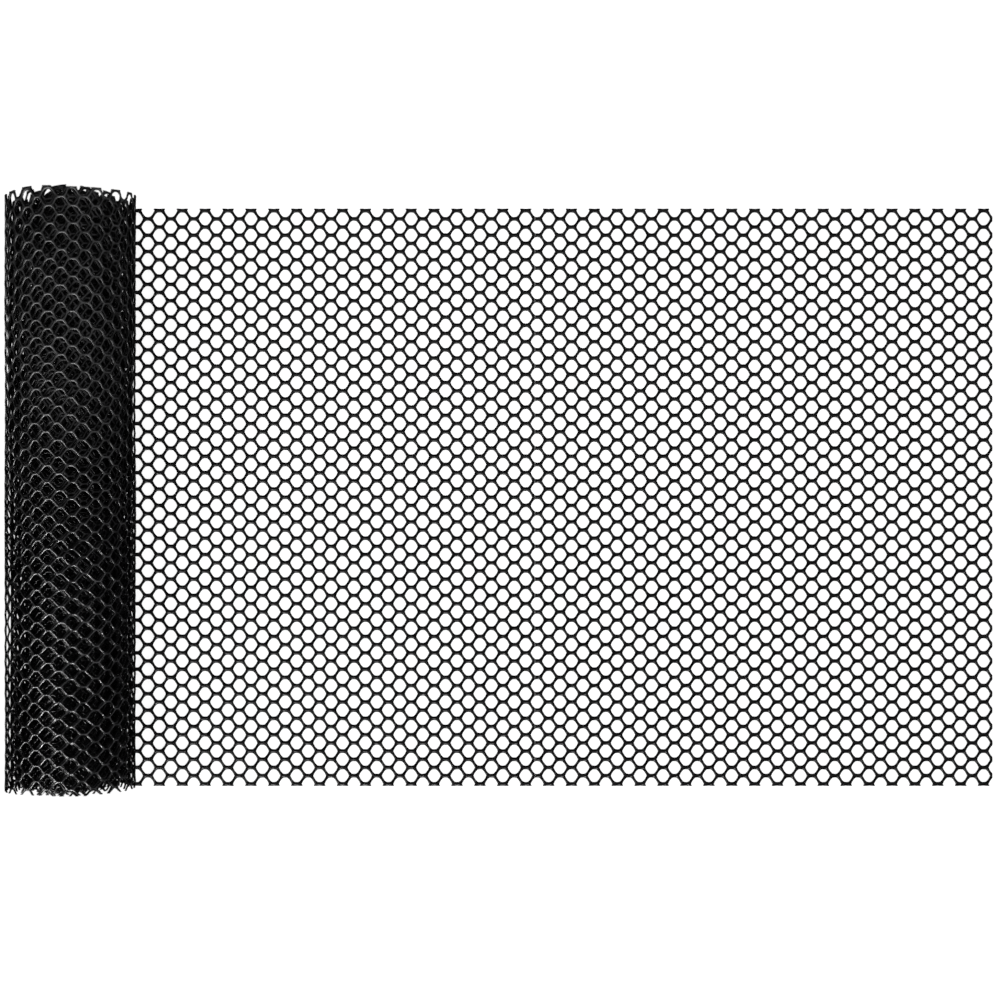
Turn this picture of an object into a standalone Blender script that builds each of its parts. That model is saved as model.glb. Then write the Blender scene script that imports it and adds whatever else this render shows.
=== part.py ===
"""A roll of black plastic netting with six-sided openings, its loose end laid out flat.

Units are metres and +Z is up. The roll lies on its side with its axis along Y. The net leaves
the roll at the bottom and runs along the floor to +X. The origin is on the floor, below the
middle of the whole object. The two solids fill the net's openings: they have its outline, its
thickness and its winding.
"""

import math

import bmesh
import bpy

# The net, as it comes off the machine
OPENINGS_ACROSS = 35
ROW_PITCH = 0.011345
COLUMN_PITCH = 0.01586
BAR_HALF_LENGTH = COLUMN_PITCH / 6
STRAND_WIDTH = 0.00135
NET_THICKNESS = 0.0020
NET_WIDTH = OPENINGS_ACROSS * ROW_PITCH + 2 * STRAND_WIDTH

# Its cut edges: every second column of openings ends half an opening short of the edge
CUT_DEPTH = ROW_PITCH / 2
CORNER_SHARE = STRAND_WIDTH / 2 * math.tan(math.radians(30))
LONG_HALF = BAR_HALF_LENGTH + CORNER_SHARE
SHORT_HALF = BAR_HALF_LENGTH - CORNER_SHARE
FIRST_COLUMN = COLUMN_PITCH / 2 - BAR_HALF_LENGTH + STRAND_WIDTH / 2

# The loose end, from the roll's lowest line to its tip
FREE_LENGTH = 0.6289
GAP = 0.0003

# The winding
TURNS = 14
TURN_PITCH = 0.0023
OUTER_RADIUS = 0.0440
LOOSE_BULGE = 0.0020
BULGE_SPAN_TURNS = 0.5
OUTER_TURN_LENGTH = 0.2625
CORNER_MARGIN = 0.0010
FLAT_SPOT_WIDTH = 0.0080
ROLL_SHIFT = 0.004

# The roll's ends: the inner turns stand a little uneven
INNER_INSET = 0.0023
INNER_UNEVENNESS = 0.0011
UNEVEN_WAVES_PER_TURN = 0.37

# Where the pieces stand: the object's middle is over the origin
ROLL_Y = ROLL_SHIFT / 2
SHEET_Y = -ROLL_SHIFT / 2


def outer_radius(turn):
    """Radius of the winding's outer side, a number of turns in from where the net leaves it."""
    radius = OUTER_RADIUS - TURN_PITCH * turn
    if turn < BULGE_SPAN_TURNS:
        radius += LOOSE_BULGE * math.sin(math.pi * turn / BULGE_SPAN_TURNS) ** 2
    return radius


LEFT_REACH = outer_radius(BULGE_SPAN_TURNS / 2)
AXIS_X = (LEFT_REACH - FREE_LENGTH) / 2
AXIS_Z = OUTER_RADIUS
TIP_X = AXIS_X + FREE_LENGTH

# Netting material: black polyethylene with a soft gloss
NET_COLOUR = (0.012, 0.012, 0.013, 1.0)
NET_ROUGHNESS = 0.42


def clear_scene():
    """Remove every object that the scene starts with."""
    for thing in list(bpy.data.objects):
        bpy.data.objects.remove(thing, do_unlink=True)


def net_material(name):
    """A plain black plastic."""
    material = bpy.data.materials.new(name)
    material.use_nodes = True
    shader = material.node_tree.nodes["Principled BSDF"]
    shader.inputs["Base Color"].default_value = NET_COLOUR
    shader.inputs["Roughness"].default_value = NET_ROUGHNESS
    shader.inputs["Metallic"].default_value = 0.0
    return material


def finish_object(name, shape):
    """Turn a bmesh into a named object whose faces point out."""
    bmesh.ops.recalc_face_normals(shape, faces=shape.faces[:])
    mesh = bpy.data.meshes.new(name)
    shape.to_mesh(mesh)
    shape.free()
    mesh.materials.append(net_material(name + "_plastic"))
    thing = bpy.data.objects.new(name, mesh)
    bpy.context.scene.collection.objects.link(thing)
    return thing


# The net's cut edges

def edge_inset(distance):
    """How far a long edge stands in from the full width, at a distance from the net's tip."""
    half_pitch = COLUMN_PITCH / 2
    off_column = abs((distance - FIRST_COLUMN + half_pitch) % COLUMN_PITCH - half_pitch)
    slope_share = (off_column - LONG_HALF) / (half_pitch - LONG_HALF - SHORT_HALF)
    return CUT_DEPTH * min(max(slope_share, 0.0), 1.0)


def edge_corners(start, end):
    """Distances from the tip of a long edge's corners, between two of its places."""
    corners = []
    centre = FIRST_COLUMN
    half = LONG_HALF
    while centre - half < end:
        corners += [centre - half, centre + half]
        centre += COLUMN_PITCH / 2
        half = LONG_HALF + SHORT_HALF - half
    return [corner for corner in corners if start < corner < end]


# The loose end

def tip_outline():
    """Corners of the zigzag tip from -Y to +Y, as (distance from the tip, y)."""
    bar_end = COLUMN_PITCH / 2 - 2 * BAR_HALF_LENGTH
    first_row = -OPENINGS_ACROSS * ROW_PITCH / 2
    corners = []
    for row in range(OPENINGS_ACROSS):
        low_y = first_row + row * ROW_PITCH
        if row > 0:
            corners.append((bar_end, low_y))
        corners.append((0.0, low_y + ROW_PITCH / 2))
    return corners


def build_loose_end():
    """The flat sheet, extruded up from its outline on the floor."""
    length = FREE_LENGTH - GAP
    side = [(distance, edge_inset(distance)) for distance in edge_corners(0.0, length) + [length]]
    half_width = NET_WIDTH / 2
    outline = [(TIP_X - distance, SHEET_Y + inset - half_width) for distance, inset in reversed(side)]
    outline += [(TIP_X - distance, SHEET_Y + y) for distance, y in tip_outline()]
    outline += [(TIP_X - distance, SHEET_Y + half_width - inset) for distance, inset in side]

    shape = bmesh.new()
    floor_corners = [shape.verts.new((x, y, 0.0)) for x, y in outline]
    underside = shape.faces.new(floor_corners)
    raised = bmesh.ops.extrude_face_region(shape, geom=[underside], use_keep_orig=True)
    top_corners = [item for item in raised["geom"] if isinstance(item, bmesh.types.BMVert)]
    bmesh.ops.translate(shape, verts=top_corners, vec=(0.0, 0.0, NET_THICKNESS))
    return finish_object("loose_end", shape)


# The roll

def turn_shares():
    """Where the winding's points lie in each turn, as shares of the turn.

    They are the corners of the outer turn's cut edge, so that its openings keep their shape.
    """
    corners = edge_corners(FREE_LENGTH + CORNER_MARGIN, FREE_LENGTH + OUTER_TURN_LENGTH - CORNER_MARGIN)
    return [0.0] + [(corner - FREE_LENGTH) / OUTER_TURN_LENGTH for corner in corners]


def end_inset(turn):
    """How far the wound net's cut edge stands in from the full width."""
    if turn < 1.0:
        return edge_inset(FREE_LENGTH + turn * OUTER_TURN_LENGTH)
    wave = math.sin(2 * math.pi * UNEVEN_WAVES_PER_TURN * turn)
    return INNER_INSET + INNER_UNEVENNESS * wave


def winding_point(turn, depth, side):
    """A point on the winding: depth is below its outer side, side is -1 or +1 for its ends."""
    angle = 2 * math.pi * turn
    radius = outer_radius(turn) - depth
    x = AXIS_X - radius * math.sin(angle)
    y = ROLL_Y + side * (NET_WIDTH / 2 - end_inset(turn))
    z = AXIS_Z - radius * math.cos(angle)
    on_flat_spot = depth == 0.0 and turn < 1.0 and 0.0 <= AXIS_X - x < FLAT_SPOT_WIDTH and z < AXIS_Z
    return (x, y, 0.0 if on_flat_spot else z)


def build_roll():
    """The wound net as one body, with its turns stepped at both ends and its eye open.

    The net is a band wound inwards. On each end the band's cut edge and the slope down to the
    next turn are strips of faces that follow the spiral.
    """
    shares = turn_shares()
    per_turn = len(shares)
    turns = [whole + share for whole in range(TURNS) for share in shares] + [float(TURNS)]
    last = len(turns) - 1
    shape = bmesh.new()
    outer = {}
    inner = {}
    for side in (-1, 1):
        outer[side] = [shape.verts.new(winding_point(turn, 0.0, side)) for turn in turns]
        inner[side] = [shape.verts.new(winding_point(turn, NET_THICKNESS, side)) for turn in turns]

    for side in (-1, 1):
        for step in range(last):
            shape.faces.new((outer[side][step], outer[side][step + 1],
                             inner[side][step + 1], inner[side][step]))
        for step in range(last - per_turn):
            below = step + per_turn
            shape.faces.new((inner[side][step], inner[side][step + 1],
                             outer[side][below + 1], outer[side][below]))

    eye_start = last - per_turn
    for step in range(per_turn):
        shape.faces.new((outer[-1][step], outer[-1][step + 1],
                         outer[1][step + 1], outer[1][step]))
        eye = eye_start + step
        shape.faces.new((inner[-1][eye], inner[-1][eye + 1],
                         inner[1][eye + 1], inner[1][eye]))

    # The steps where the outer turn starts and the innermost one ends
    shape.faces.new((outer[-1][0], inner[-1][0], outer[-1][per_turn],
                     outer[1][per_turn], inner[1][0], outer[1][0]))
    shape.faces.new((inner[-1][eye_start], outer[-1][last], inner[-1][last],
                     inner[1][last], outer[1][last], inner[1][eye_start]))
    return finish_object("roll", shape)


clear_scene()
build_roll()
build_loose_end()
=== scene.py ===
"""Looks for a roll of black plastic netting with six-sided openings, its loose end laid out flat.

Units are metres and +Z is up. The net is made flat, opening by opening, in its own measures: the
distance from its tip, the place across it and the height over its underside. It is then laid along
the floor and wound up on the spiral that the solids follow. The near end of the roll is at -Y and
its far end at +Y.
"""

import logging
import math
from dataclasses import dataclass
from enum import Enum

import bmesh
import bpy
import numpy as np
from mathutils import Matrix, Vector


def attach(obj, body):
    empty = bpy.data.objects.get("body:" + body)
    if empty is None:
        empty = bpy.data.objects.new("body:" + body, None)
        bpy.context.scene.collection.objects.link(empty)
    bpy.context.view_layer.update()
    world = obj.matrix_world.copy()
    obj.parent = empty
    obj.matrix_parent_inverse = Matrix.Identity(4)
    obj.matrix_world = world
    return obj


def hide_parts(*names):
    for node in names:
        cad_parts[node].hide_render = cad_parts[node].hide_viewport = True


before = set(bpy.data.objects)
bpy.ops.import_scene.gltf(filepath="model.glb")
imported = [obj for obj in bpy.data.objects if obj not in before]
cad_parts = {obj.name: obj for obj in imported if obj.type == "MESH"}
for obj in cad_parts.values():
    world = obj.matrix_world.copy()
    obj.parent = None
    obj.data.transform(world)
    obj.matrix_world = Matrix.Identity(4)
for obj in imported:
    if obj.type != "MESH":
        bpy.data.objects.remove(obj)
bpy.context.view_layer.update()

LOG = logging.getLogger("netting")

Point = tuple[float, float, float]
Colour = tuple[float, float, float, float]
Stroke = tuple[Point, Point]

# The length of net: from the roll's lowest line to the tip, and how it is wound
FREE_LENGTH = 0.6289
GAP = 0.0003
TURNS = 14
TURN_PITCH = 0.0023
OUTER_RADIUS = 0.0440
LOOSE_BULGE = 0.0020
BULGE_SPAN_TURNS = 0.5
OUTER_TURN_LENGTH = 0.2625
AXIS_X = -0.2917375
TIP_X = AXIS_X + FREE_LENGTH
ROLL_Y = 0.002
SHEET_Y = -0.002
HALF_WIDTH = 0.1998875

# The making of an opening: its sides, and points of a strand's section as shares of the strand's
# half width and half height
OPENING_SIDES = 6
ON_CREST = (0.0, 1.0)
ON_SHOULDER = (0.66, 0.76)
ON_EDGE = (1.0, 0.0)
ON_BACK = (0.0, -1.0)
MERGE_REACH = 1e-5
CUT_REACH = 1e-6

# The meshes' own attribute: 1 on the crest of a strand, 0 at its sides and behind; the material
# paints its crest sheen with it
CREST = "crest"

# The black plastic has a touch of blue
BLUE_SHARE = 1.05
WHITE = (1.0, 1.0, 1.0, 1.0)

# Where the photograph was taken from
VIEWPOINT = (-0.0038, -0.0039, 1.600)


def everything(shape: bmesh.types.BMesh) -> list:
    """All the vertices, edges and faces of a bmesh."""
    return shape.verts[:] + shape.edges[:] + shape.faces[:]


def finished_mesh(name: str, shape: bmesh.types.BMesh) -> bpy.types.Mesh:
    """Turn a bmesh into a mesh, and let go of it.

    Args:
        name: the mesh's name.
        shape: the bmesh.

    Returns:
        The new mesh.
    """
    mesh = bpy.data.meshes.new(name)
    shape.to_mesh(mesh)
    shape.free()
    return mesh


def put_in_scene(name: str, data: bpy.types.ID) -> bpy.types.Object:
    """Put a mesh, camera or light in the scene, at the origin.

    Args:
        name: the object's name.
        data: what the object shows.

    Returns:
        The new object.
    """
    thing = bpy.data.objects.new(name, data)
    bpy.context.scene.collection.objects.link(thing)
    return thing


def covered(distance: np.ndarray, run: float) -> np.ndarray:
    """Share of a run that a distance covers, from 0 to 1."""
    return np.clip(distance / run, 0, 1)


def softened(share: np.ndarray) -> np.ndarray:
    """A share from 0 to 1 with a soft start and end."""
    return share * share * (3 - 2 * share)


def settled(distance: np.ndarray, pace: float) -> np.ndarray:
    """Share of a change that has come about: quick at first, then ever slower."""
    return 1 - np.exp(-np.maximum(distance, 0) / pace)


class Solid(Enum):
    """The solids of the part that the net stands for."""

    ROLL = "roll"
    LOOSE_END = "loose_end"


class Fineness(Enum):
    """How finely the rim of an opening is made.

    The first number is the steps on each of its six sides. Then comes the rim's section, from the
    strand's crest over the opening's edge to its back.
    """

    CLOSE = (3, (ON_CREST, ON_SHOULDER, ON_EDGE, ON_BACK))
    PLAIN = (2, (ON_CREST, ON_SHOULDER, ON_EDGE, ON_BACK))
    SPARE = (2, (ON_CREST, ON_EDGE, ON_BACK))


@dataclass(frozen=True)
class NetPattern:
    """The moulded net, flat: where its strands run and how thick they are."""

    # The openings: how many there are, how far apart, and where the first whole column is
    openings_across: int = 35
    row_pitch: float = 0.011345
    column_pitch: float = 0.01586
    first_column: float = 0.005962
    spare_rows: int = 3
    # The cut edges: past the last opening, and how far the near one drifts as the net is wound
    cut_margin: float = 0.00135
    near_cut_drift: float = 0.0151
    drift_run: float = 0.070
    # One opening: from the bar's middle to its forks, and from its own middle to its rim
    fork_reach: float = 0.0021
    flank_reach: float = 0.00397
    bar_reach: float = 0.00441
    corner_sharpness: float = 10.0
    # The strands: half their heights, the side that shows, and the net's share of plastic
    bar_half_height: float = 0.00100
    strand_half_height: float = 0.00078
    shown_side: float = 1.0
    plastic_share: float = 0.50

    @property
    def half_width(self) -> float:
        """Half the width of the net, out to where its edges were cut."""
        return self.openings_across * self.row_pitch / 2 + self.cut_margin

    @property
    def wound_near_reach(self) -> float:
        """How far from the net's middle its near edge was cut where it is wound up."""
        return self.half_width + self.near_cut_drift

    def opening_reach(self, angle: float) -> float:
        """How far an opening's edge is from its middle.

        Args:
            angle: direction from the middle, in radians from the net's length.

        Returns:
            The distance in metres.
        """
        lean = math.atan2(self.column_pitch / 2 - 2 * self.fork_reach, self.row_pitch / 2)
        sides = ((math.pi / 2, self.bar_reach), (lean, self.flank_reach), (-lean, self.flank_reach))
        crowding = sum(abs(math.cos(angle - facing) / reach) ** self.corner_sharpness
                       for facing, reach in sides)
        return crowding ** (-1 / self.corner_sharpness)

    def rim_corners(self) -> list[Vector]:
        """The forks round an opening whose middle is the origin.

        Returns:
            Six points, anticlockwise from the one along the net's length.
        """
        point = self.column_pitch / 2 - self.fork_reach
        fork, half_row = self.fork_reach, self.row_pitch / 2
        return [Vector((point, 0)), Vector((fork, half_row)), Vector((-fork, half_row)),
                Vector((-point, 0)), Vector((-fork, -half_row)), Vector((fork, -half_row))]

    def rim_place(self, step: int, steps: int, inward: float, rise: float) -> Vector:
        """A point of the rim of an opening whose middle is the origin.

        Args:
            step: which step round the rim, from 0.
            steps: how many steps each of the six sides has.
            inward: share of the way from the strand's crest to the opening's edge.
            rise: share of the strand's half height from its middle to the side that shows.

        Returns:
            The point as (along the net, across it, height over its underside).
        """
        corners = self.rim_corners()
        side, part = divmod(step % (OPENING_SIDES * steps), steps)
        share = part / steps
        crest = corners[side].lerp(corners[(side + 1) % OPENING_SIDES], share)
        edge = crest.normalized() * self.opening_reach(math.atan2(crest.y, crest.x))
        place = crest.lerp(edge, inward)
        on_bar = side % 3 == 1
        slimmed = 0.0 if on_bar else math.sin(math.pi * share) ** 2
        slimming = self.strand_half_height - self.bar_half_height
        half_height = self.bar_half_height + slimming * slimmed
        height = self.bar_half_height + self.shown_side * rise * half_height
        return Vector((place.x, place.y, height))

    def rim(self, fineness: Fineness) -> bmesh.types.BMesh:
        """The half strands round one opening, as a closed band.

        Args:
            fineness: how many faces the rim gets.

        Returns:
            A new bmesh.
        """
        steps, section = fineness.value
        around, rings = OPENING_SIDES * steps, len(section) - 1
        grid_half = 0.5
        shape = bmesh.new()
        crest = shape.verts.layers.float.new(CREST)
        bmesh.ops.create_grid(shape, x_segments=around, y_segments=rings, size=grid_half)
        for vert in shape.verts:
            step = round((vert.co.x + grid_half) * around)
            inward, rise = section[round((vert.co.y + grid_half) * rings)]
            vert.co = self.rim_place(step, steps, inward, rise)
            vert[crest] = 1 - inward if rise > 0 else 0.0
        bmesh.ops.remove_doubles(shape, verts=shape.verts[:], dist=MERGE_REACH)
        return shape

    def length_of_net(self, start: float, end: float, fineness: Fineness) -> bmesh.types.BMesh:
        """A length of net, trimmed at both ends and along both edges, in its own measures.

        Args:
            start: distance of its near end from the net's tip.
            end: distance of its far end.
            fineness: how many faces each opening gets.

        Returns:
            A new bmesh with the distance from the tip along X, across along Y, and height along Z.
        """
        shape = self.rim(fineness)
        other = bmesh.ops.duplicate(shape, geom=everything(shape))
        moved = [item for item in other["geom"] if isinstance(item, bmesh.types.BMVert)]
        bmesh.ops.translate(shape, verts=moved, vec=(self.column_pitch / 2, self.row_pitch / 2, 0))

        first = math.floor((start - self.first_column) / self.column_pitch) - 1
        last = math.ceil((end - self.first_column) / self.column_pitch) + 1
        rows = self.openings_across + self.spare_rows
        corner = (self.first_column + first * self.column_pitch, -rows * self.row_pitch / 2, 0)
        bmesh.ops.translate(shape, verts=shape.verts[:], vec=corner)
        for offset, copies in (((0, self.row_pitch, 0), rows - 1),
                               ((self.column_pitch, 0, 0), last - first)):
            bmesh.ops.spin(shape, geom=everything(shape), cent=(0, 0, 0), axis=(0, 0, 1),
                           dvec=offset, angle=0.0, steps=copies, use_duplicate=True)
        bmesh.ops.remove_doubles(shape, verts=shape.verts[:], dist=MERGE_REACH)
        bmesh.ops.recalc_face_normals(shape, faces=shape.faces[:])
        for face in shape.faces:
            face.smooth = True
        for place, outward in (((start, 0, 0), (-1, 0, 0)), ((end, 0, 0), (1, 0, 0)),
                               ((0, self.half_width, 0), (0, 1, 0)), *self.near_cuts(end)):
            self.trim(shape, place, outward)
        return shape

    def near_cuts(self, end: float) -> tuple[Stroke, ...]:
        """The strokes that cut the near edge: it drifts outwards as the net is wound up.

        Args:
            end: distance from the net's tip of the far end of the length that is cut.

        Returns:
            Pairs of a point on the cut and the direction of what falls away.
        """
        straight = ((0, -self.half_width, 0), (0, -1, 0))
        if end <= FREE_LENGTH:
            return (straight,)
        drifting = ((FREE_LENGTH, -self.half_width, 0), (-self.near_cut_drift, -self.drift_run, 0))
        return drifting, ((0, -self.wound_near_reach, 0), (0, -1, 0))

    def trim(self, shape: bmesh.types.BMesh, place: Point, outward: Point) -> None:
        """Cut the net with a blade's straight stroke, and close the strands' cut ends.

        Args:
            shape: the net.
            place: a point on the cut.
            outward: the direction of what falls away.
        """
        cut = bmesh.ops.bisect_plane(shape, geom=everything(shape), dist=CUT_REACH,
                                     plane_co=place, plane_no=outward, clear_outer=True)
        edges = [item for item in cut["geom_cut"] if isinstance(item, bmesh.types.BMEdge)]
        ends = bmesh.ops.holes_fill(shape, edges=edges, sides=0)["faces"]
        for face in ends:
            face.smooth = False
            for edge in face.edges:
                edge.smooth = False


LAID_PATTERN = NetPattern()
WOUND_PATTERN = NetPattern(cut_margin=0.00050, fork_reach=0.00150, flank_reach=0.00421,
                           bar_reach=0.00488, corner_sharpness=8.0, bar_half_height=0.00070,
                           strand_half_height=0.00055, shown_side=-1.0, plastic_share=0.38)


@dataclass(frozen=True)
class Wave:
    """One of the waves that the wound net's unevenness is made of.

    It has a size and, in radians, how fast it runs for each metre across the net and for each
    turn in, and where it starts.
    """

    size: float
    per_metre: float
    per_turn: float
    start: float = 0.0

    def at(self, turn: np.ndarray, across: np.ndarray, lag: np.ndarray | float = 0.0) -> np.ndarray:
        """Its height at places on the net.

        Args:
            turn: numbers of turns in.
            across: places across the net.
            lag: radians by which it runs ahead there.

        Returns:
            Heights, as far as its size to either side of 0.
        """
        phase = self.per_metre * across + self.per_turn * turn + self.start + lag
        return self.size * np.sin(phase)


@dataclass(frozen=True)
class Winding:
    """The spiral that the net is wound on, and the floor that its loose end lies on.

    Turns are counted inwards from the roll's lowest line, where the net leaves it.
    """

    # The middle of the net's height, and where the inner turns begin
    mid_height: float = 0.0010
    inner_start: float = 0.9
    inner_run: float = 0.3
    lengths_per_turn: int = 4
    # The rows: from the laid net's middle to the roll's, and how they lie at the roll's ends
    ease_turns: float = 0.5
    near_row_squeeze: float = 0.90
    far_row_squeeze: float = 1.035
    # How far the inner turns have slipped inwards at the ends, and how uneven those are
    near_end_slip: float = 0.0022
    far_end_slip: float = 0.0070
    slip_turns: float = 0.5
    inner_unevenness: float = 0.0009
    uneven_waves_per_turn: float = 0.37
    # How loosely the inner turns lie: inwards at both sides, and out to the bulge on the left
    near_slack: float = 0.0013
    far_slack: float = 0.0003
    left_slack_share: float = 0.5
    slack_start: float = 0.06
    slack_run: float = 0.06
    slack_start_turn: float = 1.2
    slack_turns: float = 0.5
    near_hug: float = 0.0006
    far_hug: float = 0.0021
    hug_depth_turns: float = 8.0
    radial_play: float = 0.00022
    play_start: float = 0.1
    play_run: float = 0.2
    play_waves: tuple[Wave, ...] = (Wave(1.0, 31.0, 23.0), Wave(1.0, -57.0, 11.3, 1.7))
    # How far the net has strayed round the roll, in the outer turn and in those inside it
    wander: float = 0.0009
    wander_run: float = 0.2
    outer_waves: tuple[Wave, ...] = (Wave(1.0, 29.0, 7.1), Wave(0.6, 71.0, -12.7, 2.0),
                                     Wave(0.4, 240.0, 61.0), Wave(0.4, 190.0, -83.0))
    inner_wander: float = 0.0024
    inner_waves: tuple[Wave, ...] = (Wave(1.0, 33.0, 8.9, 0.8), Wave(0.5, 17.0, -16.2, 2.0))
    # How far the inner turns have drifted along the roll
    slow_drift: Wave = Wave(0.0022, 9.0, 4.4)
    small_drift: Wave = Wave(0.0012, 31.0, 15.0)
    drift_lag: float = 0.8
    lag_per_turn: float = 1.3
    # Towards the near end the first turns' openings nest: the shifts that bring each turn there
    nested_turns: tuple[float, ...] = (1.0, 1.45, 2.45)
    nested_shifts: tuple[float, ...] = (0.0, 0.0021, 0.0050)
    nested_start: float = 0.02
    nested_run: float = 0.09
    nested_calm: float = 0.75
    # Towards the far end the bars are longer
    far_bar_gain: float = 0.0008
    bar_gain_start: float = -0.03
    bar_gain_run: float = 0.13

    def outer_radius(self, turn: np.ndarray) -> np.ndarray:
        """Radius of the winding's outer side, so many turns in from where the net leaves it."""
        bulge = LOOSE_BULGE * np.sin(np.pi * covered(turn, BULGE_SPAN_TURNS)) ** 2
        return OUTER_RADIUS - TURN_PITCH * turn + bulge

    def wound_length(self, turn: float) -> float:
        """Length of net on the roll.

        Args:
            turn: the number of turns in from the roll's lowest line.

        Returns:
            The length in metres.
        """
        if turn <= 1:
            return OUTER_TURN_LENGTH * turn
        mean = OUTER_RADIUS - self.mid_height
        inner_radii = mean * (turn - 1) - TURN_PITCH * (turn ** 2 - 1) / 2
        return OUTER_TURN_LENGTH + 2 * math.pi * inner_radii

    def turn_at(self, length: np.ndarray) -> np.ndarray:
        """How many turns in a place on the net is.

        Args:
            length: lengths of net from the roll's lowest line.

        Returns:
            Numbers of turns.
        """
        turns = np.linspace(1, TURNS + 1, self.lengths_per_turn * TURNS + 1)
        lengths = np.array([self.wound_length(float(turn)) for turn in turns])
        inner = np.interp(length, lengths, turns)
        return np.where(length < OUTER_TURN_LENGTH, length / OUTER_TURN_LENGTH, inner)

    def inside(self, turn: np.ndarray) -> np.ndarray:
        """Whether places are on the inner turns: 0 on the outer one, 1 well inside it."""
        return covered(turn - self.inner_start, self.inner_run)

    def nested(self, across: np.ndarray) -> np.ndarray:
        """How well the turns' openings nest: 0 at the roll's far end, 1 at its near end."""
        return softened(covered(self.nested_start - across, self.nested_run))

    def lengthened(self, along: np.ndarray, across: np.ndarray) -> np.ndarray:
        """Draw the wound net's openings from diamonds at the near end to hexagons at the far end.

        Args:
            along: distances from the net's tip.
            across: places across the net.

        Returns:
            The distances from the tip, with the bars' ends drawn apart.
        """
        pattern = WOUND_PATTERN
        farness = covered(across - self.bar_gain_start, self.bar_gain_run)
        wound = covered(along - FREE_LENGTH, pattern.drift_run)
        columns = np.sin(2 * np.pi * (along - pattern.first_column) / pattern.column_pitch)
        rows = np.cos(2 * np.pi * across / pattern.row_pitch)
        return along - self.far_bar_gain * farness * wound * columns * rows

    def stray(self, turn: np.ndarray, across: np.ndarray) -> np.ndarray:
        """How far round the roll the net has strayed: a little outside, more on the inner turns.

        Args:
            turn: numbers of turns in.
            across: places across the net.

        Returns:
            Distances in metres.
        """
        nested = self.nested(across)
        outer = sum(wave.at(turn, across) for wave in self.outer_waves)
        inner = sum(wave.at(turn, across) for wave in self.inner_waves)
        inner = inner * (1 - self.nested_calm * nested)
        return (self.wander * outer * covered(turn, self.wander_run)
                + self.inner_wander * inner * self.inside(turn)
                + np.interp(turn, self.nested_turns, self.nested_shifts) * nested)

    def drifted(self, turn: np.ndarray, across: np.ndarray) -> np.ndarray:
        """How far along the roll the inner turns have drifted.

        Args:
            turn: numbers of turns in.
            across: places across the net.

        Returns:
            Distances in metres.
        """
        lag = self.drift_lag * np.sin(self.lag_per_turn * turn)
        free = self.slow_drift.at(turn, across, lag) + self.small_drift.at(turn, across)
        return free * (1 - self.nested_calm * self.nested(across))

    def end_inset(self, turn: np.ndarray, across: np.ndarray) -> np.ndarray:
        """How far the inner turns' ends stand in from the outer one's.

        Args:
            turn: numbers of turns in.
            across: places across the net.

        Returns:
            Distances in metres.
        """
        far_share = (1 + across / HALF_WIDTH) / 2
        slip = self.near_end_slip + (self.far_end_slip - self.near_end_slip) * far_share
        slip = slip * settled(turn - self.inner_start, self.slip_turns)
        at_sides = (1 - np.cos(4 * np.pi * turn)) / 2
        wave = np.sin(2 * np.pi * self.uneven_waves_per_turn * turn)
        return self.inside(turn) * (slip * at_sides + self.inner_unevenness * wave)

    def squeezed(self, across: np.ndarray) -> np.ndarray:
        """Where the rows lie on the roll: drawn together at the near end, apart at the far end.

        Args:
            across: places across the net as it was made.

        Returns:
            Places along the roll from its middle.
        """
        far, near = WOUND_PATTERN.half_width, -WOUND_PATTERN.wound_near_reach
        bend = (self.far_row_squeeze - self.near_row_squeeze) / (2 * (far - near))
        slope = self.far_row_squeeze - 2 * bend * far
        reach = slope * far + bend * far ** 2
        return slope * across + bend * across ** 2 + HALF_WIDTH - reach

    def slack(self, turn: np.ndarray, across: np.ndarray) -> np.ndarray:
        """How far the inner turns stand away from the outer one, at the roll's two sides.

        Args:
            turn: numbers of turns in.
            across: places along the roll from its middle.

        Returns:
            Distances in metres, below 0 where the turns lie out in the left side's bulge.
        """
        nearness = covered(self.slack_start - across, self.slack_run)
        side = np.sin(2 * np.pi * turn)
        most = self.far_slack + (self.near_slack - self.far_slack) * nearness
        most = most * np.where(side > 0, self.left_slack_share, 1)
        loose = most * side ** 2 * settled(turn - self.slack_start_turn, self.slack_turns)
        closeness = self.far_hug + (self.near_hug - self.far_hug) * nearness
        shallow = 1 - covered(turn - 1, self.hug_depth_turns)
        hugging = closeness * np.maximum(side, 0) ** 2 * shallow
        return loose - np.where(turn > 1, hugging, 0)

    def radius(self, turn: np.ndarray, across: np.ndarray, height: np.ndarray) -> np.ndarray:
        """How far points of the wound net are from the roll's axis.

        Args:
            turn: numbers of turns in.
            across: places along the roll from its middle.
            height: heights over the net's underside, which is its outer side on the roll.

        Returns:
            Distances in metres.
        """
        play = sum(wave.at(turn, across) for wave in self.play_waves)
        loosened = self.radial_play * covered(turn - self.play_start, self.play_run)
        radius = self.outer_radius(turn) - height - loosened * (1 + play / 2)
        return radius - np.where(turn > 1, self.slack(turn, across), 0)

    def wound(self, turn: np.ndarray, across: np.ndarray, height: np.ndarray) -> np.ndarray:
        """Wind points of the net.

        Args:
            turn: numbers of turns in.
            across: places across the net.
            height: heights over the net's underside.

        Returns:
            The points in the object's frame.
        """
        drawn_share = covered(turn * OUTER_TURN_LENGTH, WOUND_PATTERN.drift_run)
        drawn = across + (self.squeezed(across) - across) * drawn_share
        middle = SHEET_Y + (ROLL_Y - SHEET_Y) * softened(covered(turn, self.ease_turns))
        drift = self.inside(turn) * self.drifted(turn, across)
        y = middle + drawn * (1 - self.end_inset(turn, across) / HALF_WIDTH) + drift
        radius = self.radius(turn, drawn, height)
        angle = 2 * np.pi * turn
        x = AXIS_X - radius * np.sin(angle)
        z = OUTER_RADIUS - radius * np.cos(angle)
        return np.column_stack((x, y, z))

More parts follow.
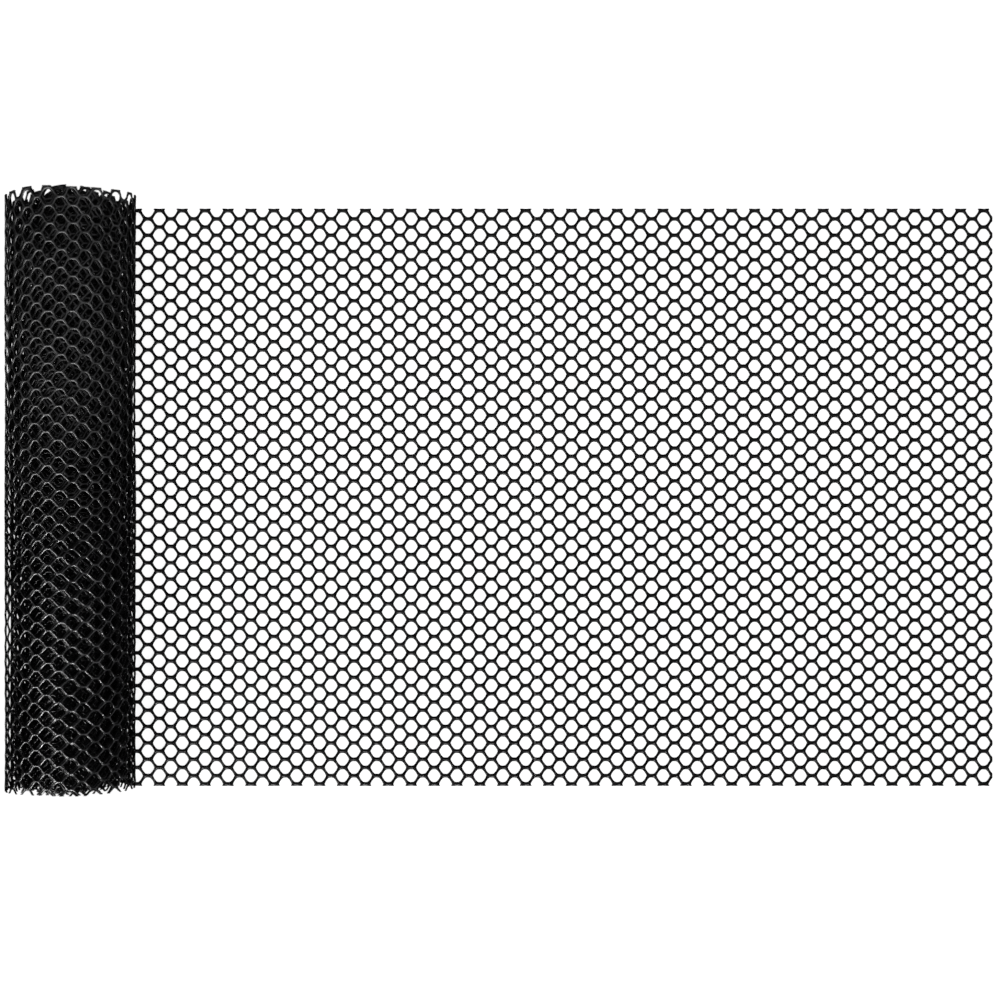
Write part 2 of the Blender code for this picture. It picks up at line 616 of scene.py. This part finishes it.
    def place(self, net: np.ndarray) -> np.ndarray:
        """Lay and wind points of the net.

        Args:
            net: points as (distance from the tip, across, height over the underside).

        Returns:
            The same points in the object's frame.
        """
        along, across, height = net.T
        along = self.lengthened(along, across)
        laid = np.column_stack((TIP_X - along, SHEET_Y + across, height))
        turn = np.maximum(self.turn_at(along - FREE_LENGTH), 0)
        turn = turn + self.stray(turn, across) / (2 * np.pi * OUTER_RADIUS)
        on_roll = (along > FREE_LENGTH)[:, None]
        return np.where(on_roll, self.wound(turn, across, height), laid)


@dataclass(frozen=True)
class NodeBench:
    """A material's nodes, and the wires between them."""

    tree: bpy.types.NodeTree

    def feed(self, node: bpy.types.Node, values: dict[str | int, object]) -> None:
        """Set a node's inputs.

        Args:
            node: the node.
            values: by input, a number or colour, or another node's output that is wired to it.
        """
        for key, value in values.items():
            if isinstance(value, bpy.types.NodeSocket):
                self.tree.links.new(value, node.inputs[key])
            else:
                node.inputs[key].default_value = value

    def add(self, kind: str, output: str, values: dict[str | int, object] | None = None,
            **options: str) -> bpy.types.NodeSocket:
        """Add a node.

        Args:
            kind: Blender's name for the kind of node.
            output: the output that is used.
            values: its inputs, as feed takes them.
            options: its other settings.

        Returns:
            That output.
        """
        node = self.tree.nodes.new(kind)
        for option, choice in options.items():
            setattr(node, option, choice)
        self.feed(node, values or {})
        return node.outputs[output]


@dataclass(frozen=True)
class BlackPolyethylene:
    """Moulded black plastic with a soft, uneven gloss and a painted sheen in patches along its
    crests.
    """

    name: str
    # The black, the painted crest sheen in the near and far parts of the roll, and the gloss
    shade: float
    near_crest_sheen: float
    far_crest_sheen: float
    gloss: float
    ior: float = 1.5
    # Where the near part's finish turns into the far part's: its painted crest sheen and its
    # roughness
    fade_start: float = -0.05
    fade_end: float = 0.10
    # The painted sheen along the crests, in patches
    crest_narrowness: float = 1.9
    patch_scale: float = 130.0
    patch_detail: float = 2.5
    patch_roughness: float = 0.75
    patch_from: float = 0.35
    patch_to: float = 0.65
    patch_low: float = 0.15
    patch_high: float = 1.05
    # The fine grain in the gloss
    grain_scale: float = 600.0
    grain_detail: float = 2.0
    grain_from: float = 0.3
    grain_to: float = 0.7
    grain_depth: float = 0.00004
    grain_strength: float = 0.6
    roughness_low: float = 0.18
    roughness_high: float = 0.30
    far_dulling: float = 0.20

    @staticmethod
    def neutral(shade: float) -> Colour:
        """A grey or black with a touch of blue in it."""
        return shade, shade, BLUE_SHARE * shade, 1.0

    def material(self) -> bpy.types.Material:
        """Build the material.

        Returns:
            The new material.
        """
        made = bpy.data.materials.new(self.name)
        made.use_nodes = True
        bench = NodeBench(made.node_tree)
        place = bench.add("ShaderNodeTexCoord", "Object")
        farness = self.farness(bench, place)
        grain = bench.add("ShaderNodeTexNoise", "Fac", {
            "Vector": place, "Scale": self.grain_scale, "Detail": self.grain_detail})
        bench.feed(made.node_tree.nodes["Principled BSDF"], {
            "Metallic": 0.0,
            "IOR": self.ior,
            "Specular IOR Level": self.gloss,
            "Base Color": self.colour(bench, place, farness),
            "Roughness": self.roughness(bench, grain, farness),
            "Normal": self.bumps(bench, grain)})
        return made

    def farness(self, bench: NodeBench, place: bpy.types.NodeSocket) -> bpy.types.NodeSocket:
        """How far along the roll a place is.

        Args:
            bench: the material's nodes.
            place: the place on the object.

        Returns:
            0 in the near part, 1 in the far part.
        """
        along_roll = bench.add("ShaderNodeSeparateXYZ", "Y", {"Vector": place})
        return bench.add("ShaderNodeMapRange", "Result", {
            "Value": along_roll, "From Min": self.fade_start, "From Max": self.fade_end})

    def colour(self, bench: NodeBench, place: bpy.types.NodeSocket,
               farness: bpy.types.NodeSocket) -> bpy.types.NodeSocket:
        """Black, with a painted sheen in patches along the strands' crests, lighter or darker along
        the roll for how the light falls there.

        Args:
            bench: the material's nodes.
            place: the place on the object.
            farness: how far along the roll it is.

        Returns:
            The colour.
        """
        # The paler crests are a painted sheen, broken into patches and shifting from the near
        # part's brightness to the far part's
        patches = bench.add("ShaderNodeTexNoise", "Fac", {
            "Vector": place, "Scale": self.patch_scale, "Detail": self.patch_detail,
            "Roughness": self.patch_roughness})
        patchy_sheen = bench.add("ShaderNodeMapRange", "Result", {
            "Value": patches, "From Min": self.patch_from, "From Max": self.patch_to,
            "To Min": self.patch_low, "To Max": self.patch_high})
        crest = bench.add("ShaderNodeAttribute", "Fac", attribute_name=CREST)
        narrowed = bench.add("ShaderNodeMath", "Value", {0: crest, 1: self.crest_narrowness},
                             operation="POWER")
        crest_sheen = bench.add("ShaderNodeMath", "Value", {0: narrowed, 1: patchy_sheen}, operation="MULTIPLY")
        sheen_colour = bench.add("ShaderNodeMix", "Result", {
            "A": self.neutral(self.near_crest_sheen), "B": self.neutral(self.far_crest_sheen),
            "Factor": farness}, data_type="RGBA")
        return bench.add("ShaderNodeMix", "Result", {
            "A": self.neutral(self.shade), "B": sheen_colour, "Factor": crest_sheen}, data_type="RGBA")

    def roughness(self, bench: NodeBench, grain: bpy.types.NodeSocket,
                  farness: bpy.types.NodeSocket) -> bpy.types.NodeSocket:
        """How dull the plastic is: uneven with its grain, and duller in the far part.

        Args:
            bench: the material's nodes.
            grain: the grain's height.
            farness: how far along the roll the place is.

        Returns:
            The roughness.
        """
        uneven = bench.add("ShaderNodeMapRange", "Result", {
            "Value": grain, "From Min": self.grain_from, "From Max": self.grain_to,
            "To Min": self.roughness_low, "To Max": self.roughness_high})
        return bench.add("ShaderNodeMath", "Value", {0: farness, 1: self.far_dulling, 2: uneven},
                         operation="MULTIPLY_ADD")

    def bumps(self, bench: NodeBench, grain: bpy.types.NodeSocket) -> bpy.types.NodeSocket:
        """The grain's fine bumps."""
        return bench.add("ShaderNodeBump", "Normal", {
            "Height": grain, "Strength": self.grain_strength, "Distance": self.grain_depth})


# One plastic in lit and shaded copies: the outer turn is painted lighter, and the turns inside it
# are painted darker the deeper they lie, for the shade that falls on them
LAID_NET = BlackPolyethylene("laid_net", shade=0.0010, near_crest_sheen=0.0090, far_crest_sheen=0.0090,
                             gloss=0.12)
LIT_OUTER_NET = BlackPolyethylene("lit_outer_net", shade=0.0003, near_crest_sheen=0.038, far_crest_sheen=0.036,
                              gloss=0.56)
SHADED_NET = BlackPolyethylene("shaded_net", shade=0.0002, near_crest_sheen=0.016, far_crest_sheen=0.025,
                               gloss=0.15)
DEEPLY_SHADED_NET = BlackPolyethylene("deeply_shaded_net", shade=0.0001, near_crest_sheen=0.003, far_crest_sheen=0.005,
                             gloss=0.32)


@dataclass(frozen=True)
class NetPiece:
    """One stretch of the net, laid or wound, from one distance from the tip to another."""

    name: str
    start: float
    end: float
    solid: Solid
    fineness: Fineness
    finish: BlackPolyethylene

    @property
    def pattern(self) -> NetPattern:
        """The net's strands as they are drawn for this stretch."""
        return LAID_PATTERN if self.solid is Solid.LOOSE_END else WOUND_PATTERN

    def build(self, winding: Winding) -> bpy.types.Object:
        """Make the stretch flat, then lay it or wind it in its place.

        Args:
            winding: the spiral that it is wound on.

        Returns:
            The new object.
        """
        shape = self.pattern.length_of_net(self.start, self.end, self.fineness)
        mesh = finished_mesh(self.name, shape)
        net = np.empty(len(mesh.vertices) * 3)
        mesh.vertices.foreach_get("co", net)
        mesh.vertices.foreach_set("co", winding.place(net.reshape(-1, 3)).ravel())
        mesh.update()
        return put_in_scene(self.name, mesh)

    def dress(self, piece: bpy.types.Object) -> None:
        """Give the stretch its plastic, hide the solid that it stands for and attach it to the root
        body.

        Args:
            piece: the stretch's object.
        """
        known = bpy.data.materials.get(self.finish.name)
        piece.data.materials.append(known or self.finish.material())
        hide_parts(self.solid.value)
        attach(piece, "root")
        pattern = self.pattern
        length, width, held = self.end - self.start, 2 * pattern.half_width, "laid"
        if self.solid is Solid.ROLL:
            width, held = width + pattern.near_cut_drift, "folded"


@dataclass(frozen=True)
class Netting:
    """The whole length of net, in the stretches that it is made in."""

    winding: Winding = Winding()
    seam: float = 0.00005
    parting_shift: float = 0.0023
    parted_turns: tuple[float, ...] = (0, 1, 3, 7.5, TURNS)

    def stretches(self) -> list[NetPiece]:
        """Part the net into its stretches.

        Returns:
            The stretches, from the tip to the roll's eye.
        """
        seam = self.seam
        halfway = FREE_LENGTH / 2 + self.parting_shift
        cuts = [FREE_LENGTH + self.winding.wound_length(turn) for turn in self.parted_turns]
        return [
            NetPiece("loose_end_tip", 0.0, halfway - seam,
                     Solid.LOOSE_END, Fineness.CLOSE, LAID_NET),
            NetPiece("loose_end_root", halfway + seam, FREE_LENGTH - GAP,
                     Solid.LOOSE_END, Fineness.CLOSE, LAID_NET),
            NetPiece("outer_turn", cuts[0] + seam, cuts[1] - seam,
                     Solid.ROLL, Fineness.CLOSE, LIT_OUTER_NET),
            NetPiece("second_turns", cuts[1] + seam, cuts[2] - seam,
                     Solid.ROLL, Fineness.PLAIN, SHADED_NET),
            NetPiece("middle_turns", cuts[2] + seam, cuts[3] - seam,
                     Solid.ROLL, Fineness.SPARE, DEEPLY_SHADED_NET),
            NetPiece("inner_turns", cuts[3] + seam, cuts[4],
                     Solid.ROLL, Fineness.SPARE, DEEPLY_SHADED_NET),
        ]

    def build(self) -> None:
        """Make and dress every stretch, and report each."""
        total = 0
        for stretch in self.stretches():
            piece = stretch.build(self.winding)
            stretch.dress(piece)
            triangles = sum(len(face.vertices) - 2 for face in piece.data.polygons)
            total += triangles
            LOG.info("%s: %d triangles", piece.name, triangles)
        LOG.info("netting: %d triangles", total)


@dataclass(frozen=True)
class Camera:
    """The photograph's viewpoint, straight above the floor."""

    place: Point = VIEWPOINT
    half_view: float = 0.3466
    sensor: float = 36.0

    def build(self) -> None:
        """Make the camera and look through it."""
        data = bpy.data.cameras.new("photo_camera")
        data.sensor_width = self.sensor
        data.lens = self.sensor * self.place[2] / (2 * self.half_view)
        data.dof.use_dof = False
        camera = put_in_scene("photo_camera", data)
        camera.location = self.place
        bpy.context.scene.camera = camera


@dataclass(frozen=True)
class SoftLight:
    """One softbox: where it stands, what it is aimed at, its size and its power."""

    name: str
    place: Point
    aim: Point
    width: float
    height: float
    power: float
    long_axis: Point = (1.0, 0.0, 0.0)
    on_floor: bool = True
    in_gloss: bool = True

    def build(self) -> None:
        """Make the light. The camera doesn't see the box itself."""
        data = bpy.data.lights.new(self.name, "AREA")
        data.shape = "RECTANGLE"
        data.size = self.width
        data.size_y = self.height
        data.energy = self.power
        light = put_in_scene(self.name, data)
        light.location = self.place
        back = (Vector(self.place) - Vector(self.aim)).normalized()
        along = Vector(self.long_axis)
        along = (along - back * along.dot(back)).normalized()
        light.rotation_euler = Matrix((along, back.cross(along), back)).transposed().to_euler()
        light.visible_diffuse = self.on_floor
        light.visible_glossy = self.in_gloss
        light.visible_camera = False


@dataclass(frozen=True)
class Studio:
    """Pale floor, even surroundings and the softboxes."""

    floor_reach: float = 6.0
    floor_shade: float = 0.9
    surround: float = 0.45
    lights: tuple[SoftLight, ...] = (
        SoftLight("camera_ring", place=VIEWPOINT, aim=(*VIEWPOINT[:2], 0.0),
                  width=0.03, height=0.03, power=24.2, in_gloss=False),
        SoftLight("left_strip", place=(-0.885, -0.53, 0.72), aim=(-0.29, -0.14, 0.07),
                  width=1.15, height=0.06, power=19.0, long_axis=(-0.764, 0.102, -0.637),
                  on_floor=False),
        SoftLight("front_box", place=(-0.21, -1.28, 1.05), aim=(-0.29, -0.02, 0.08),
                  width=0.30, height=0.20, power=30.0, on_floor=False),
        SoftLight("right_panel", place=(0.71, 0.0, 1.00), aim=(-0.29, 0.0, 0.06),
                  width=1.0, height=1.0, power=1.8, on_floor=False),
    )

    def floor(self) -> None:
        """Lay a plain white floor, which doesn't show in the plastic's gloss."""
        shape = bmesh.new()
        bmesh.ops.create_grid(shape, x_segments=1, y_segments=1, size=self.floor_reach)
        mesh = finished_mesh("floor", shape)
        white = bpy.data.materials.new("floor_white")
        white.use_nodes = True
        shader = white.node_tree.nodes["Principled BSDF"]
        shade = self.floor_shade
        shader.inputs["Base Color"].default_value = (shade, shade, shade, 1.0)
        shader.inputs["Roughness"].default_value = 1.0
        shader.inputs["Specular IOR Level"].default_value = 0.0
        mesh.materials.append(white)
        floor = put_in_scene("floor", mesh)
        floor.visible_glossy = False

    def surroundings(self) -> None:
        """Light the scene evenly from all round, with nothing of it in the plastic's gloss."""
        world = bpy.data.worlds.new("studio")
        world.use_nodes = True
        background = world.node_tree.nodes["Background"]
        background.inputs["Color"].default_value = WHITE
        background.inputs["Strength"].default_value = self.surround
        world.cycles_visibility.glossy = False
        bpy.context.scene.world = world
        bpy.context.scene.view_settings.view_transform = "Standard"

    def build(self) -> None:
        """Set the whole studio up."""
        self.floor()
        self.surroundings()
        for light in self.lights:
            light.build()


def main() -> None:
    """Build the net, the camera and the studio, and note the sizes."""
    logging.basicConfig(level=logging.INFO, format="%(name)s: %(message)s")
    Netting().build()
    Camera().build()
    LOG.info("camera: straight above the floor")
    Studio().build()
    LOG.info("studio: floor, surroundings and softboxes")


if __name__ == "__main__":
    main()
